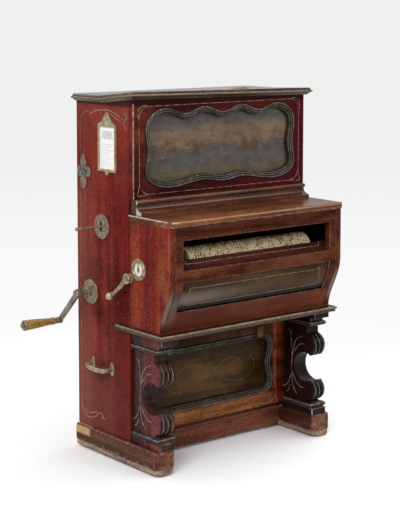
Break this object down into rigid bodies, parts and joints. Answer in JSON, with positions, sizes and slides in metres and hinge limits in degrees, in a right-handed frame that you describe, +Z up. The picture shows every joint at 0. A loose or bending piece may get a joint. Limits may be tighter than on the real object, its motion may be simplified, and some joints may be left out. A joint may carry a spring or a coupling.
{
  "type": "mechanical barrel piano",
  "caption": "Upright crank-driven barrel piano in a polished wooden case: lidded top, scalloped front, slot showing the pinned barrel, scrolled consoles, brass side fittings",
  "frame": {"origin": "on the floor, at the middle of the case's width, in the plane of the case's back", "axes": "+Z up, +X to the right seen from the front, the front faces -Y"},
  "size_m": [0.939, 0.5452, 1.1655],
  "materials": {
    "mahogany": "old French polish, red-brown with vertical grain",
    "maroon_veneer": "dark red polished veneer",
    "grey_moulding": "grey silvered moulding, rubbed",
    "inner_wood": "plain unfinished wood",
    "field": "amber brown panel",
    "olive_panel": "dark olive brown polish",
    "picture": "painted panel, hazy landscape colours",
    "brass": "aged, dull",
    "steel": "worn grey steel",
    "iron": "dark iron",
    "grip_wood": "honey varnish worn by hands",
    "paper": "aged white card",
    "barrel_paper": "cream paper over wood",
    "leather": "brown belt leather",
    "worn_wood": "grey worn bare wood"
  },
  "bodies": {
    "case": {"left_side_board": "mahogany", "right_side_board": "mahogany", "plinths": "mahogany", "apron_rail": "mahogany", "lower_frame": "mahogany", "keybed": "mahogany", "left_cheek": "mahogany", "right_cheek": "mahogany", "key_front": "mahogany", "key_top": "mahogany", "ledge_moulding": "mahogany", "consoles": "maroon_veneer", "console_caps": "maroon_veneer", "console_bases": "maroon_veneer", "barrel_guard": "maroon_veneer", "upper_frame": "maroon_veneer", "lower_moulding": "grey_moulding", "scalloped_moulding": "grey_moulding", "keybed_moulding": "grey_moulding", "rear_lid": "grey_moulding", "back_boards": "inner_wood", "back_frame": "inner_wood", "soundboard": "inner_wood", "wrest_plank": "inner_wood", "bottom_board": "inner_wood", "rail_guides": "inner_wood", "lower_field": "field", "curved_panel": "olive_panel", "picture_panel": "picture", "lid_hinges": "brass", "card_frame": "brass", "lock_plate": "brass", "stop_plate": "brass", "crank_plate": "brass", "dial": "brass", "carry_handles": "brass", "strings": "steel", "tuning_pins": "steel", "glides": "iron", "hammer_rail": "iron", "card": "paper", "drive_belt": "leather", "skids": "worn_wood"},
    "lid": {"front_lid": "grey_moulding"},
    "lock_key": {"lock_key": "brass"},
    "stop_lever": {"stop_lever": "brass"},
    "mute_rail": {"mute_rail": "inner_wood"},
    "left_button": {"left_turn_button": "field"},
    "right_button": {"right_turn_button": "field"},
    "crank": {"crank_shaft": "steel", "crank_arm": "steel"},
    "grip": {"crank_grip": "grip_wood"},
    "first_idler": {"first_idler": "brass"},
    "second_idler": {"second_idler": "brass"},
    "cradle": {"barrel_cradle": "inner_wood"},
    "barrel": {"barrel": "barrel_paper", "barrel_arbor": "steel"},
    "tune_lever": {"tune_lever": "brass"},
    "pointer": {"dial_pointer": "iron"},
    "hammers": {"hammers": "inner_wood"}
  },
  "joints": [
    {"name": "lid_open", "type": "hinge", "parent": "case", "child": "lid", "pos_m": [0, -0.15, 1.1502], "axis": [-1, 0, 0], "range_deg": [0, 105]},
    {"name": "key_turn", "type": "hinge", "parent": "case", "child": "lock_key", "pos_m": [-0.353, -0.04, 0.901], "axis": [1, 0, 0], "range_deg": [0, 90]},
    {"name": "stop_swing", "type": "hinge", "parent": "case", "child": "stop_lever", "pos_m": [-0.304, -0.137, 0.735], "axis": [0, -1, 0], "range_deg": [-8, 8]},
    {"name": "mute_lift", "type": "slide", "parent": "case", "child": "mute_rail", "axis": [0, 0, 1], "range_m": [-0.0066, 0.0066]},
    {"name": "left_button_turn", "type": "hinge", "parent": "case", "child": "left_button", "pos_m": [-0.196, -0.26, 0.345], "axis": [0, 1, 0], "range_deg": [-90, 90]},
    {"name": "right_button_turn", "type": "hinge", "parent": "case", "child": "right_button", "pos_m": [0.196, -0.26, 0.345], "axis": [0, 1, 0], "range_deg": [-90, 90]},
    {"name": "crank_turn", "type": "hinge", "parent": "case", "child": "crank", "pos_m": [-0.35, -0.073, 0.518], "axis": [1, 0, 0], "continuous": true},
    {"name": "grip_spin", "type": "hinge", "parent": "crank", "child": "grip", "pos_m": [-0.414, 0.03024, 0.41476], "axis": [1, 0, 0], "continuous": true},
    {"name": "first_idler_turn", "type": "hinge", "parent": "case", "child": "first_idler", "pos_m": [-0.314, -0.24967, 0.55761], "axis": [1, 0, 0], "continuous": true},
    {"name": "second_idler_turn", "type": "hinge", "parent": "case", "child": "second_idler", "pos_m": [-0.294, -0.35492, 0.59592], "axis": [1, 0, 0], "continuous": true},
    {"name": "cradle_shift", "type": "slide", "parent": "case", "child": "cradle", "axis": [1, 0, 0], "range_m": [-0.0061, 0.0061]},
    {"name": "barrel_turn", "type": "hinge", "parent": "cradle", "child": "barrel", "pos_m": [0, -0.403, 0.644], "axis": [1, 0, 0], "continuous": true},
    {"name": "tune_turn", "type": "hinge", "parent": "case", "child": "tune_lever", "pos_m": [-0.35, -0.293, 0.594], "axis": [1, 0, 0], "range_deg": [-60, 60]},
    {"name": "pointer_turn", "type": "hinge", "parent": "case", "child": "pointer", "pos_m": [-0.35, -0.335, 0.626], "axis": [1, 0, 0], "range_deg": [-121, 121]},
    {"name": "hammers_strike", "type": "hinge", "parent": "case", "child": "hammers", "pos_m": [0, -0.19, 0.647], "axis": [1, 0, 0], "range_deg": [-3.6, 0]}
  ],
  "couplings": [
    {"joint": "mute_lift", "follows": "stop_swing", "m_per_rad": 0.045},
    {"joint": "first_idler_turn", "follows": "crank_turn", "ratio": 0.2381},
    {"joint": "second_idler_turn", "follows": "crank_turn", "ratio": -0.064935},
    {"joint": "barrel_turn", "follows": "crank_turn", "ratio": 0.035419},
    {"joint": "cradle_shift", "follows": "tune_turn", "m_per_rad": 0.0057296},
    {"joint": "pointer_turn", "follows": "tune_turn", "ratio": -2}
  ]
}
